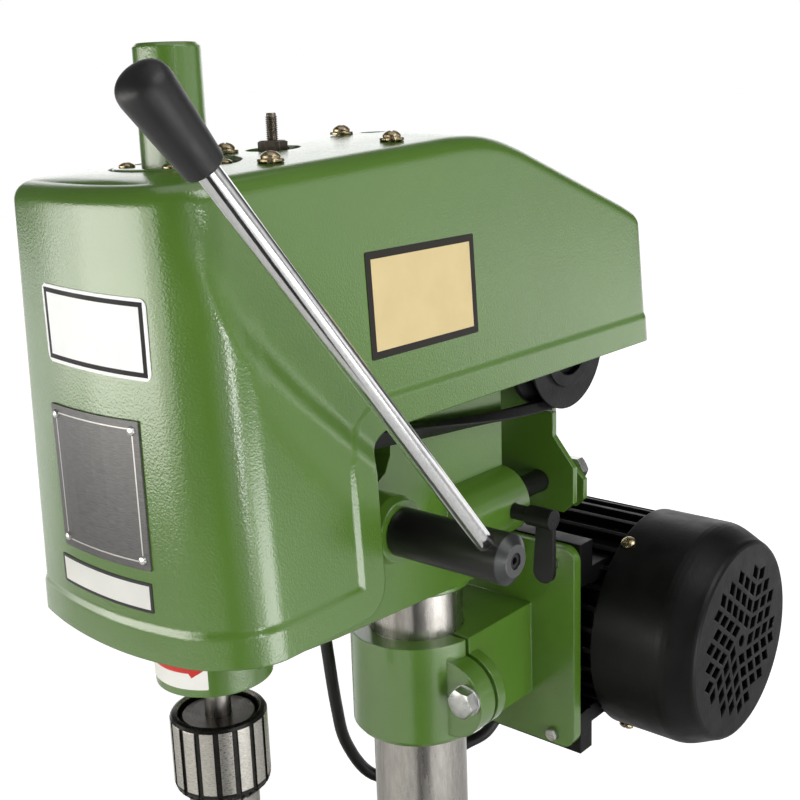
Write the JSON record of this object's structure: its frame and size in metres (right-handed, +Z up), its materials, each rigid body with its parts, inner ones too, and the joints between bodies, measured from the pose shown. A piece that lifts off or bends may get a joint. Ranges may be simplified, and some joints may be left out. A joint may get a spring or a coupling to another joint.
{
  "type": "bench tapping machine",
  "caption": "Bench tapping machine: hooded belt drive on a column, feed lever, quill with key-type chuck, and a motor clamped behind the column on a slotted base.",
  "frame": {"origin": "on the bench under the column's axis, at the base's underside", "axes": "+Z up along the column, -Y towards the operator and the spindle, +X on the feed lever's side"},
  "size_m": [0.2376, 0.4275, 0.661],
  "materials": {
    "green_enamel": "gloss enamel with a fine orange peel",
    "black_enamel": "satin enamel",
    "black_oxide": "oiled black oxide",
    "bare_steel": "turned and ground",
    "bright_steel": "polished",
    "zinc_steel": "bright zinc",
    "yellow_zinc": "yellow zinc",
    "plate_metal": "etched and filled grey",
    "black_iron": "turned, blackened",
    "clutch_lining": "pressed lining",
    "belt_rubber": "matt",
    "cable_rubber": "smooth sheath",
    "black_plastic": "moulded",
    "green_button": "moulded",
    "red_button": "moulded"
  },
  "bodies": {
    "base": {"base": "green_enamel", "base_bolts": "zinc_steel", "column": "bare_steel"},
    "head": {"head_casting": "green_enamel", "head_bolts": "zinc_steel", "hood_standoffs": "zinc_steel", "hood": "green_enamel", "hood_screws": "yellow_zinc", "hood_stud": "black_oxide", "data_plate": "plate_metal", "plate_rivets": "zinc_steel", "post": "green_enamel", "post_screws": "zinc_steel", "pulley_sleeve": "bare_steel", "motor_bracket": "green_enamel", "clamp_bolt": "zinc_steel", "motor_frame": "black_enamel", "motor_shield": "black_enamel", "motor_bolts": "zinc_steel", "fan_cover": "black_enamel", "cover_screws": "yellow_zinc", "motor_gland": "black_plastic", "switch_box": "black_plastic", "switch_gland": "black_plastic", "twist_belt": "belt_rubber", "motor_belt": "belt_rubber", "cable": "cable_rubber"},
    "bracket": {"guide_bars": "black_oxide", "shaft_bracket": "green_enamel", "bracket_bolts": "zinc_steel", "shaft_bearings": "bare_steel"},
    "counter": {"countershaft": "bare_steel", "step_pulley": "black_iron", "shaft_pulley": "black_iron"},
    "rotor": {"motor_shaft": "bare_steel", "motor_fan": "black_plastic", "motor_pulley": "black_iron"},
    "drive_pulley": {"spindle_pulley": "black_iron"},
    "clutch": {"clutch_cone": "clutch_lining"},
    "lever": {"lever_shaft": "bare_steel", "lever_hub": "black_oxide", "lever_screw": "black_oxide", "lever_rod": "bright_steel", "lever_grip": "black_plastic"},
    "quill": {"quill": "bare_steel", "quill_bearings": "bare_steel"},
    "spindle": {"spindle": "bare_steel", "chuck_body": "bare_steel"},
    "sleeve": {"chuck_sleeve": "black_oxide"},
    "jaw_1": {"jaw_1": "bare_steel"},
    "jaw_2": {"jaw_2": "bare_steel"},
    "jaw_3": {"jaw_3": "bare_steel"},
    "clamp_lever": {"clamp_lever": "black_oxide"},
    "start_button": {"start_button": "green_button"},
    "stop_button": {"stop_button": "red_button"}
  },
  "joints": [
    {"name": "head_slide", "type": "slide", "parent": "base", "child": "head", "axis": [0, 0, 1], "range_m": [-0.045, 0.03]},
    {"name": "lever_turn", "type": "hinge", "parent": "head", "child": "lever", "pos_m": [0, -0.0665, 0.448], "axis": [1, 0, 0], "range_deg": [0, 38], "stiffness_Nm_per_rad": 2, "springref_deg": -45.84},
    {"name": "quill_slide", "type": "slide", "parent": "head", "child": "quill", "axis": [0, 0, -1], "range_m": [0, 0.0349]},
    {"name": "spindle_spin", "type": "hinge", "parent": "quill", "child": "spindle", "pos_m": [0, -0.138, 0.39], "axis": [0, 0, 1], "continuous": true},
    {"name": "sleeve_turn", "type": "hinge", "parent": "spindle", "child": "sleeve", "pos_m": [0, -0.138, 0.356], "axis": [0, 0, 1], "range_deg": [-360, 1080]},
    {"name": "jaw_1_slide", "type": "slide", "parent": "spindle", "child": "jaw_1", "axis": [0.183, 0.183, 0.9659], "range_m": [-0.0021, 0.0061]},
    {"name": "jaw_2_slide", "type": "slide", "parent": "spindle", "child": "jaw_2", "axis": [-0.25, 0.067, 0.9659], "range_m": [-0.0021, 0.0061]},
    {"name": "jaw_3_slide", "type": "slide", "parent": "spindle", "child": "jaw_3", "axis": [0.067, -0.25, 0.9659], "range_m": [-0.0021, 0.0061]},
    {"name": "clutch_spin", "type": "hinge", "parent": "head", "child": "clutch", "pos_m": [0, -0.138, 0.476], "axis": [0, 0, 1], "continuous": true},
    {"name": "rotor_spin", "type": "hinge", "parent": "head", "child": "rotor", "pos_m": [0, 0.1245, 0.343], "axis": [1, 0, 0], "continuous": true},
    {"name": "pulley_spin", "type": "hinge", "parent": "head", "child": "drive_pulley", "pos_m": [0, -0.138, 0.493], "axis": [0, 0, 1], "continuous": true},
    {"name": "bracket_slide", "type": "slide", "parent": "head", "child": "bracket", "axis": [0, 1, 0], "range_m": [0, 0.006], "deforming": ["twist_belt", "motor_belt"]},
    {"name": "counter_spin", "type": "hinge", "parent": "bracket", "child": "counter", "pos_m": [0, 0.0825, 0.5055], "axis": [1, 0, 0], "continuous": true},
    {"name": "clamp_turn", "type": "hinge", "parent": "head", "child": "clamp_lever", "pos_m": [0.05, 0.025, 0.4304], "axis": [1, 0, 0], "range_deg": [-40, 60]},
    {"name": "start_press", "type": "slide", "parent": "head", "child": "start_button", "axis": [1, 0, 0], "range_m": [0, 0.003], "stiffness_N_per_m": 600},
    {"name": "stop_press", "type": "slide", "parent": "head", "child": "stop_button", "axis": [1, 0, 0], "range_m": [0, 0.003], "stiffness_N_per_m": 600}
  ],
  "couplings": [
    {"joint": "quill_slide", "follows": "lever_turn", "m_per_rad": 0.05196},
    {"joint": "clutch_spin", "follows": "spindle_spin", "ratio": 1},
    {"joint": "counter_spin", "follows": "rotor_spin", "ratio": 1},
    {"joint": "pulley_spin", "follows": "rotor_spin", "ratio": 0.88571},
    {"joint": "jaw_1_slide", "follows": "sleeve_turn", "m_per_rad": 0.00031831},
    {"joint": "jaw_2_slide", "follows": "sleeve_turn", "m_per_rad": 0.00031831},
    {"joint": "jaw_3_slide", "follows": "sleeve_turn", "m_per_rad": 0.00031831}
  ]
}
